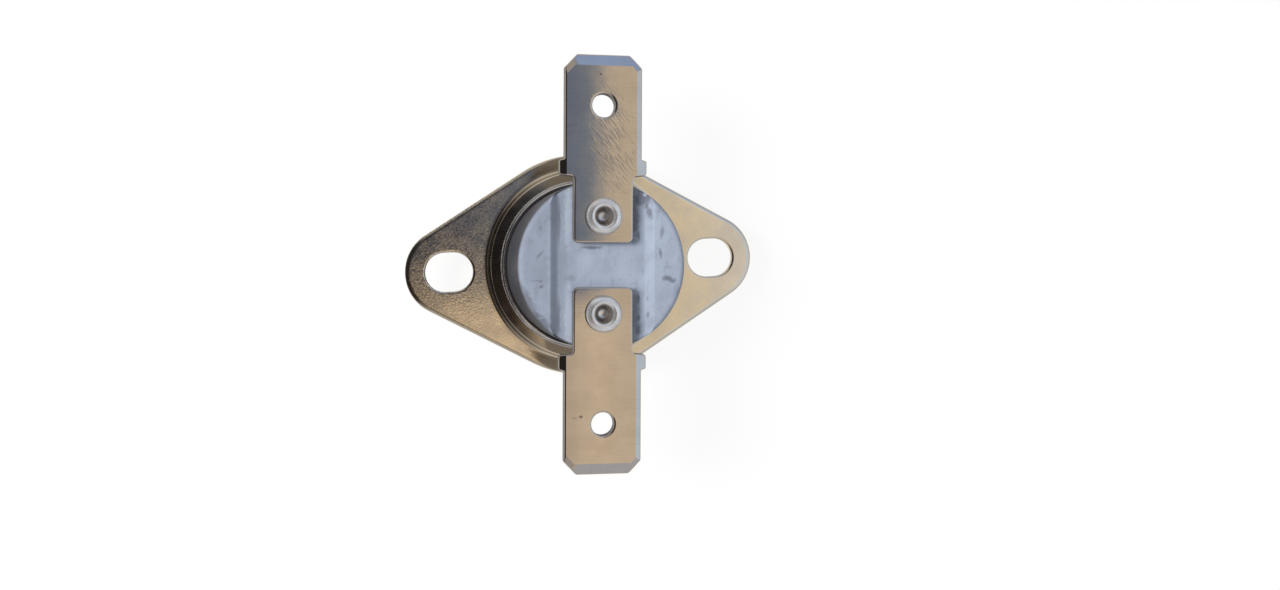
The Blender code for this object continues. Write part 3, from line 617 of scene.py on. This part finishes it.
def make_bracket(finish):
    """The pressed sheet bracket, with rolled edges and a collar."""
    small = 0.07
    outer = []
    for inset, drop in edge_roll(*BRACKET_ROLL):
        outer.append((moved(bracket_outline(inset), BRACKET_TURN), BRACKET_TOP - drop))
    outer.append((moved(bracket_outline(0), BRACKET_TURN), BRACKET_UNDERSIDE + small))
    outer.append((moved(bracket_outline(small), BRACKET_TURN), BRACKET_UNDERSIDE))
    holes = []
    for place in (SLOT_PLACE, -SLOT_PLACE):
        rings = []
        for inset, drop in edge_roll(*SLOT_ROLL):
            rings.append((moved(slot_outline(place, inset), BRACKET_TURN), BRACKET_TOP - drop))
        rings.append((moved(slot_outline(place, 0), BRACKET_TURN), BRACKET_UNDERSIDE + small))
        rings.append((moved(slot_outline(place, small), BRACKET_TURN), BRACKET_UNDERSIDE))
        holes.append(rings)
    wall = COLLAR_RADIUS - BRACKET_SHEET
    collar = rounded([
        (COLLAR_RADIUS + 0.7, BRACKET_TOP, 0),
        (COLLAR_RADIUS + 0.4, BRACKET_TOP, 0),
        (COLLAR_RADIUS, BRACKET_TOP, 0.3),
        (COLLAR_RADIUS - COLLAR_DRAFT, COLLAR_TOP - COLLAR_CROWN, 0.17),
        (COLLAR_HOLE + 0.1, COLLAR_TOP, 0.4),
        (COLLAR_HOLE, COLLAR_TOP, small),
        (COLLAR_HOLE, COLLAR_TOP - BRACKET_SHEET, small),
        (wall - COLLAR_DRAFT, COLLAR_TOP - COLLAR_CROWN - BRACKET_SHEET, 0.1),
        (wall, BRACKET_UNDERSIDE, 0.2),
        (wall + 0.4, BRACKET_UNDERSIDE, 0),
    ], closed=False)
    holes.append([(circle(0, 0, radius, LARGE_FACETS), height) for radius, height in collar])
    made = sheet_piece("bracket_plate", outer, holes)
    made.data.materials.append(finish)
    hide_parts("mounting_bracket")
    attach(made, "bracket")


def inset_corners(corners, distance):
    """A polygon of (x, y, radius) corners, given counterclockwise, moved in by a distance."""
    count = len(corners)
    result = []
    for index, (x, y, radius) in enumerate(corners):
        before = Vector(corners[index - 1][:2])
        here = Vector((x, y))
        after = Vector(corners[(index + 1) % count][:2])
        into = (here - before).normalized()
        out = (after - here).normalized()
        left_in = Vector((-into.y, into.x))
        left_out = Vector((-out.y, out.x))
        bisector = (left_in + left_out) / (1 + left_in.dot(left_out))
        turn = into.x * out.y - into.y * out.x
        corner = max(radius - distance, 0.03) if turn > 0 else radius + distance
        place = here + bisector * distance
        result.append((place.x, place.y, corner))
    return result


def tab_corners():
    """The corners of a tab whose tip points along +Y, counterclockwise."""
    right = [
        (TAB_NECK, TAB_NECK_END, 0.45),
        (TAB_NECK, TAB_EAR_START - TAB_EAR_SLOPE, 0.3),
        (TAB_EAR, TAB_EAR_START, 0.25),
        (TAB_EAR, TAB_EAR_END, 0.15),
        (TAB_HALF, TAB_EAR_END + TAB_EAR_SLOPE, 0.08),
        (TAB_HALF, TAB_TIP - TAB_CORNER[1], 0.3),
        (TAB_HALF - TAB_CORNER[0], TAB_TIP, 0.3),
    ]
    return right + [(-x, y, radius) for x, y, radius in reversed(right)]


def tab_facets(wide):
    """Sloping facets of a tab's face as (direction, start, slope). wide is the side of the wide bevel."""
    facets = [((0.0, 1.0), TAB_TIP, TIP_BEVEL)]
    for side in (1, -1):
        facets.append(((side, 0.0), TAB_HALF, WIDE_BEVEL if side == wide else NARROW_BEVEL))
        across, along = TAB_CORNER[1], TAB_CORNER[0]
        length = math.hypot(across, along)
        edge = (TAB_HALF * across + (TAB_TIP - TAB_CORNER[1]) * along) / length
        facets.append(((side * across / length, along / length), edge, CORNER_BEVEL))
    return [(Vector(way), edge - width, depth / width) for way, edge, (width, depth) in facets]


def bevel_tab(work, wide):
    """Cuts a tab's mesh along its facets' edges and lowers the facets."""
    facets = tab_facets(wide)

    def lost(point):
        return [slope * (way.dot(point) - start) for way, start, slope in facets]

    def split(way, place):
        length = way.length
        co = way * (place / length ** 2)
        parts = work.verts[:] + work.edges[:] + work.faces[:]
        bmesh.ops.bisect_plane(work, geom=parts, dist=1e-5, plane_co=(*co, 0), plane_no=(*way, 0))

    for way, start, slope in facets:
        split(way, start)
    for corner in facets[2::2]:
        for other in [facets[0]] + facets[1::2]:
            if other[0].dot(corner[0]) > 0:
                way = corner[0] * corner[2] - other[0] * other[2]
                split(way, corner[1] * corner[2] - other[1] * other[2])
    middle = (TAB_TOP + TAB_BOTTOM) / 2
    for edge in work.edges:
        ends = [corner.co for corner in edge.verts]
        if all(end.z > middle for end in ends):
            heights = lost((ends[0].xy + ends[1].xy) / 2)
            edge.smooth = abs(max(heights)) > 1e-4
    for corner in work.verts:
        heights = lost(corner.co.xy)
        if corner.co.z > middle:
            corner.co.z -= max(0.0, *heights)
        else:
            corner.co.z += max(0.0, heights[0])


def make_tab(name, node, turn, wide, finish):
    """A stamped tab: rolled edges, a rolled detent hole and bevels down to its tip and sides."""
    small = 0.05
    corners = tab_corners()
    outer = []
    for inset, drop in edge_roll(*TAB_ROLL):
        outer.append((rounded(inset_corners(corners, inset), 10), TAB_TOP - drop))
    outer.append((rounded(inset_corners(corners, 0.0), 10), TAB_BOTTOM + small))
    outer.append((rounded(inset_corners(corners, small), 10), TAB_BOTTOM))
    detent = []
    for inset, drop in edge_roll(*TAB_HOLE_ROLL):
        detent.append((circle(0, TAB_HOLE_PLACE, TAB_HOLE_RADIUS + inset, HOLE_FACETS), TAB_TOP - drop))
    detent.append((circle(0, TAB_HOLE_PLACE, TAB_HOLE_RADIUS, HOLE_FACETS), TAB_BOTTOM + small))
    detent.append((circle(0, TAB_HOLE_PLACE, TAB_HOLE_RADIUS + small, HOLE_FACETS), TAB_BOTTOM))
    seat = [(circle(0, RIVET_PLACE, RIVET_HOLE, HOLE_FACETS), height) for height in (TAB_TOP, TAB_BOTTOM)]

    def adjust(work):
        bevel_tab(work, wide)
        bmesh.ops.rotate(work, cent=(0, 0, 0), matrix=Matrix.Rotation(turn, 3, "Z"), verts=work.verts)

    made = sheet_piece(name, outer, [detent, seat], adjust)
    made.data.materials.append(finish)
    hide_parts(node)
    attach(made, "housing")


def make_rivet(name, node, place, finish):
    """A hollow rivet with a rolled head, seen from above, and a shank down to its tail."""
    tail = span(node)[0].z
    roll = [(0.64, 0.62), (0.69, 0.3), (0.75, 0.16), (0.83, 0.055), (0.93, 0.005), (1.04, 0.0), (1.14, 0.02),
            (1.23, 0.065), (1.32, 0.14), (1.4, 0.23), (1.46, 0.33), (1.49, 0.42)]
    bottom = RIVET_TOP - RIVET_BORE_DEPTH
    head = [(0, bottom), (0.2, bottom), (0.36, bottom + 0.05), (0.48, bottom + 0.14), (0.56, bottom + 0.28)]
    head += [(0.59, bottom + 0.45)]
    head += [(radius, RIVET_TOP - drop) for radius, drop in roll]
    head += [(1.46, RIVET_SEAT), (RIVET_SHANK, RIVET_SEAT)]
    foot = [
        (RIVET_SHANK, tail + RIVET_TAIL_HEIGHT), (RIVET_TAIL, tail + RIVET_TAIL_HEIGHT),
        (RIVET_TAIL, tail + RIVET_TAIL_CHAMFER), (RIVET_TAIL - RIVET_TAIL_CHAMFER, tail), (0, tail),
    ]
    made = sharpen(lathe(name, head + foot, SMALL_FACETS, (0, place)))
    made.data.materials.append(finish)
    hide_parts(node)
    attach(made, "housing")


def make_ceramic(finish):
    """The ceramic body with its channel."""
    edge = 0.5
    small = 0.1
    past = 1.0                  # how far each cutter reaches out of what it cuts
    profile = rounded([
        (0, BODY_TOP, 0),
        (BODY_RADIUS - edge - 0.1, BODY_TOP, 0),
        (BODY_RADIUS, BODY_TOP, edge),
        (BODY_RADIUS, FOOT_TOP, small),
        (FOOT_RADIUS, FOOT_TOP, small),
        (FOOT_RADIUS, FOOT_BOTTOM, small),
        (CHAMBER_RADIUS, FOOT_BOTTOM, small),
        (CHAMBER_RADIUS, CHAMBER_CEILING, 0.35),
        (0, CHAMBER_CEILING, 0),
    ], closed=False)
    body = lathe("ceramic_body", profile)
    side = []
    steps = 20
    for step in range(steps):
        share = step / steps
        rise = CHANNEL_DEPTH * (1 - math.cos(math.pi * share)) / 2
        side.append((CHANNEL_HALF + CHANNEL_SLOPE * share, CHANNEL_FLOOR + rise))
    side.append((CHANNEL_HALF + CHANNEL_SLOPE, BODY_TOP + 0.002))
    side.append((CHANNEL_HALF + CHANNEL_SLOPE, BODY_TOP + past))
    section = side + [(-x, z) for x, z in reversed(side)]
    work = bmesh.new()
    reach = 8.5
    ends = [[work.verts.new((x, y, z)) for x, z in section] for y in (-reach, reach)]
    for index in range(len(section)):
        after = (index + 1) % len(section)
        work.faces.new((ends[0][index], ends[0][after], ends[1][after], ends[1][index]))
    for end in ends:
        work.faces.new(end)
    channel = to_object("channel", work)
    baked(body, [("BOOLEAN", {"operation": "DIFFERENCE", "solver": "EXACT", "object": channel})])
    for place in (RIVET_PLACE, -RIVET_PLACE):
        top, bottom = CHANNEL_FLOOR + past, CHAMBER_CEILING - past
        profile = [(0, top), (RIVET_HOLE, top), (RIVET_HOLE, bottom), (0, bottom)]
        hole = lathe("hole", profile, BORE_FACETS, (0, place))
        baked(body, [("BOOLEAN", {"operation": "DIFFERENCE", "solver": "EXACT", "object": hole})])
        bpy.data.objects.remove(hole)
    bpy.data.objects.remove(channel)
    body.data.shade_smooth()
    sharpen(body, CERAMIC_SHARP_ANGLE)
    body.data.materials.clear()
    body.data.materials.append(finish)
    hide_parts("ceramic_base")
    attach(body, "housing")


def make_cap(finish):
    """The drawn cup, with its lip curled over the bracket's rim."""
    skin = [
        (CAP_NECK_RADIUS + LIP_OVERHANG, LIP_UNDERSIDE, 0),
        (CAP_NECK_RADIUS, LIP_UNDERSIDE, 0.11),
        (CAP_NECK_RADIUS, BULGE_TOP, 0.11),
        (CAP_BULGE_RADIUS, BULGE_TOP, 0.29),
        (CAP_BULGE_RADIUS, CAP_FACE_HEIGHT + CAP_SHOULDER, 0.26),
        (CAP_FACE_RADIUS, CAP_FACE_HEIGHT, 0.11),
        (CAP_FACE_RADIUS, 0, 0.5),
        (0, 0, 0),
    ]
    inner = [
        (0, CAP_SHEET, 0),
        (CAP_FACE_RADIUS - CAP_SHEET, CAP_SHEET, 0.28),
        (CAP_FACE_RADIUS - CAP_SHEET, CAP_FACE_HEIGHT + 0.1, 0.2),
        (CAP_BULGE_RADIUS - CAP_SHEET, CAP_FACE_HEIGHT + CAP_SHOULDER + 0.1, 0.05),
        (CAP_BULGE_RADIUS - CAP_SHEET, BULGE_TOP - CAP_SHEET, 0.07),
        (CAP_NECK_RADIUS - CAP_SHEET, BULGE_TOP - CAP_SHEET, 0.2),
        (CAP_NECK_RADIUS - CAP_SHEET, LIP_TOP, 0.1),
        (CAP_NECK_RADIUS - 0.02, LIP_TOP, 0.05),
        (CAP_NECK_RADIUS + 0.06, LIP_TOP - 0.09, 0.03),
        (CAP_NECK_RADIUS + LIP_OVERHANG, LIP_TOP - 0.1, 0.05),
    ]
    profile = rounded(skin, closed=False) + rounded(inner, closed=False)
    made = sharpen(lathe("cap_shell", profile))
    # Each skin gets a flat face across its mouth at the lip, out of sight in the body
    work = bmesh.new()
    work.from_mesh(made.data)
    bmesh.ops.holes_fill(work, edges=work.edges)
    work.to_mesh(made.data)
    work.free()
    made.data.materials.append(finish)
    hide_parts("sensor_cap")
    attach(made, "housing")


# Stage

def make_camera():
    """The photograph's camera."""
    lean = Matrix.Rotation(CAMERA_LEAN, 3, "Y")
    tilt = Matrix.Rotation(CAMERA_TILT, 3, "X")
    roll = Matrix.Rotation(CAMERA_ROLL, 3, "Z")
    turn = roll @ tilt @ lean
    across = (AXIS_PIXEL[0] - LENS_PIXEL[0]) * CAMERA_DISTANCE / FOCAL
    up = -(AXIS_PIXEL[1] - LENS_PIXEL[1]) * CAMERA_DISTANCE / FOCAL
    place = turn.transposed() @ Vector((-across, -up, CAMERA_DISTANCE)) + Vector((0, 0, BRACKET_TOP))
    data = bpy.data.cameras.new("camera")
    data.sensor_width = SENSOR
    data.lens = FOCAL * SENSOR / IMAGE_WIDTH
    data.shift_x = (IMAGE_WIDTH / 2 - LENS_PIXEL[0]) / IMAGE_WIDTH
    data.shift_y = (LENS_PIXEL[1] - IMAGE_HEIGHT / 2) / IMAGE_WIDTH
    data.clip_start = 0.001
    data.clip_end = 10
    camera = bpy.data.objects.new("camera", data)
    camera.matrix_world = Matrix.Translation(place * MM) @ turn.transposed().to_4x4()
    bpy.context.scene.collection.objects.link(camera)
    bpy.context.scene.camera = camera


def make_floor():
    """A plain white floor that keeps a soft shadow near the part and meets the white far away."""
    work = bmesh.new()
    bmesh.ops.create_circle(work, cap_ends=True, radius=FLOOR_RADIUS, segments=64)
    floor = to_object("floor", work)
    floor.location.z = -FLOOR_DROP * MM
    made = bpy.data.materials.new("floor")
    made.use_nodes = True
    tree = made.node_tree
    tree.nodes.remove(tree.nodes["Principled BSDF"])
    where = add(tree, "TexCoord").outputs["Object"]
    far = eased(tree, length_of(tree, where), 0.04, 0.16)
    shade = mixed(tree, far, rgb(0.12, 0.12, 0.12), rgb(0, 0, 0))
    diffuse = add(tree, "BsdfDiffuse", {"Color": shade}).outputs[0]
    path = add(tree, "LightPath")
    seen = maths(tree, "MAXIMUM", path.outputs["Is Camera Ray"], path.outputs["Is Glossy Ray"])
    seen = maths(tree, "MAXIMUM", seen, path.outputs["Is Transmission Ray"])
    strength = maths(tree, "MULTIPLY", seen, maths(tree, "ADD", maths(tree, "MULTIPLY", far, 0.1), 0.9))
    glow = add(tree, "Emission", {"Color": rgb(1, 1, 1), "Strength": strength}).outputs[0]
    both = add(tree, "AddShader", {0: diffuse, 1: glow}).outputs[0]
    tree.links.new(both, tree.nodes["Material Output"].inputs["Surface"])
    floor.data.materials.append(made)


def make_world():
    """Soft white light. What metal mirrors is a room: dark at the left, warm above, pale elsewhere."""
    world = bpy.data.worlds.new("studio")
    bpy.context.scene.world = world
    world.use_nodes = True
    world.cycles.sampling_method = "NONE"
    tree = world.node_tree
    tree.nodes.clear()
    x, y, z = axes(tree, add(tree, "TexCoord").outputs["Generated"])
    up = maths(tree, "MAXIMUM", z, 0.05)
    across = maths(tree, "DIVIDE", x, up)
    along = maths(tree, "DIVIDE", y, up)
    pale = (0.74, 0.93, 1.2)
    back = ramp(tree, across, [
        (-1.0, (0.02, 0.02, 0.022)), (-0.15, (0.03, 0.028, 0.03)), (0.0, (0.075, 0.08, 0.105)),
        (0.07, (0.13, 0.14, 0.19)), (0.15, (0.17, 0.195, 0.27)), (0.185, (0.21, 0.27, 0.40)),
        (0.216, (0.28, 0.35, 0.46)),
        (0.229, (0.82, 0.74, 0.62)), (0.25, (0.80, 0.715, 0.59)), (0.29, (0.92, 0.82, 0.65)),
        (0.35, (0.95, 0.85, 0.70)), (0.385, (0.95, 0.95, 1.05)),
        (0.5, (0.78, 0.88, 1.02)), (0.9, pale), (2.0, pale),
    ])
    front = ramp(tree, across, [
        (-1.0, (0.03, 0.025, 0.02)), (-0.12, (0.06, 0.045, 0.035)), (0.0, (0.35, 0.27, 0.19)),
        (0.05, (1.15, 0.92, 0.66)), (0.14, (1.0, 0.82, 0.62)), (0.185, (0.72, 0.64, 0.55)),
        (0.212, (0.95, 0.83, 0.67)), (0.27, (0.82, 0.73, 0.60)), (0.31, (0.92, 0.82, 0.65)),
        (0.36, (0.93, 0.84, 0.72)), (0.5, (0.78, 0.86, 0.98)),
        (0.9, pale), (2.0, pale),
    ])
    room = mixed(tree, eased(tree, along, -0.022, -0.056), back, front)
    off = add(tree, "CombineXYZ", {"X": across, "Y": along})
    low = length_of(tree, off.outputs[0])
    leftness = maths(tree, "DIVIDE", across, low)
    open_side = eased(tree, across, 0.03, 0.16)
    quiet = maths(tree, "MULTIPLY", eased(tree, low, 0.32, 0.55), eased(tree, leftness, -0.7, -0.4))
    quiet = maths(tree, "MULTIPLY", quiet, maths(tree, "SUBTRACT", 1.0, open_side))
    beyond = maths(tree, "MULTIPLY", eased(tree, along, 0.25, 0.5), open_side)
    room = mixed(tree, beyond, room, rgb(0.42, 0.60, 1.0))
    before = maths(tree, "MULTIPLY", eased(tree, along, -0.3, -0.6), open_side)
    room = mixed(tree, before, room, rgb(0.58, 0.63, 0.74))
    room = mixed(tree, eased(tree, across, -0.05, -0.4), room, rgb(0.03, 0.028, 0.03))
    room = mixed(tree, quiet, room, rgb(0.52, 0.51, 0.50))
    horizon = mixed(tree, eased(tree, leftness, -0.55, -0.85), rgb(0.66, 0.65, 0.64), rgb(0.15, 0.14, 0.14))
    room = mixed(tree, eased(tree, low, 0.9, 1.7), room, horizon)
    path = add(tree, "LightPath")
    seen = maths(tree, "MAXIMUM", path.outputs["Is Camera Ray"], path.outputs["Is Transmission Ray"])
    soft = add(tree, "Background", {"Color": rgb(0.95, 0.97, 1.0), "Strength": 0.42}).outputs[0]
    mirror = add(tree, "Background", {"Color": room, "Strength": 1.0}).outputs[0]
    white = add(tree, "Background", {"Color": rgb(1, 1, 1), "Strength": 1.0}).outputs[0]
    light = add(tree, "MixShader", {0: path.outputs["Is Glossy Ray"], 1: soft, 2: mirror}).outputs[0]
    final = add(tree, "MixShader", {0: seen, 1: light, 2: white}).outputs[0]
    out = tree.nodes.new("ShaderNodeOutputWorld")
    tree.links.new(final, out.inputs["Surface"])


def make_lamp(name, place, size, power, colour):
    """A soft lamp that looks at the part and isn't mirrored in it."""
    data = bpy.data.lights.new(name, "AREA")
    data.shape = "DISK"
    data.size = size
    data.energy = power
    data.color = colour
    lamp = bpy.data.objects.new(name, data)
    lamp.location = place
    lamp.rotation_euler = (-Vector(place)).to_track_quat("-Z", "Y").to_euler()
    lamp.visible_glossy = False
    bpy.context.scene.collection.objects.link(lamp)


nickel = nickel_finish()
tinned = tab_finish()
steel = rivet_finish()
cup = plain_metal("cap metal", (0.52, 0.50, 0.48), (0.42, 0.40, 0.39), 0.14, 0.24)
copper = plain_metal("spring copper", (0.75, 0.48, 0.30), (0.62, 0.40, 0.26), 0.2, 0.32)
silver = plain_metal("contact silver", (0.86, 0.85, 0.83), (0.74, 0.73, 0.71), 0.2, 0.34)
bimetal = plain_metal("bimetal", (0.52, 0.51, 0.50), (0.44, 0.43, 0.42), 0.22, 0.34)
ceramic = ceramic_finish()

for node, finish in (
    ("guide_plate", ceramic), ("push_pin", ceramic), ("bimetal_disc", bimetal), ("contact_arm", copper),
    ("fixed_contact_plate", copper), ("moving_contact", silver), ("fixed_contact", silver),
):
    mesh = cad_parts[node].data
    mesh.materials.clear()
    mesh.materials.append(finish)

make_bracket(nickel)
make_tab("tab_upper", "terminal_upper", 0.0, 1, tinned)
make_tab("tab_lower", "terminal_lower", math.pi, -1, tinned)
make_rivet("rivet_head_upper", "rivet_upper", RIVET_PLACE, steel)
make_rivet("rivet_head_lower", "rivet_lower", -RIVET_PLACE, steel)
make_ceramic(ceramic)
make_cap(cup)

make_camera()
make_floor()
make_world()
make_lamp("key", (-0.6, 0.1, 0.55), 0.3, 5.2, (1.0, 0.98, 0.96))
bpy.context.scene.view_settings.view_transform = "Standard"
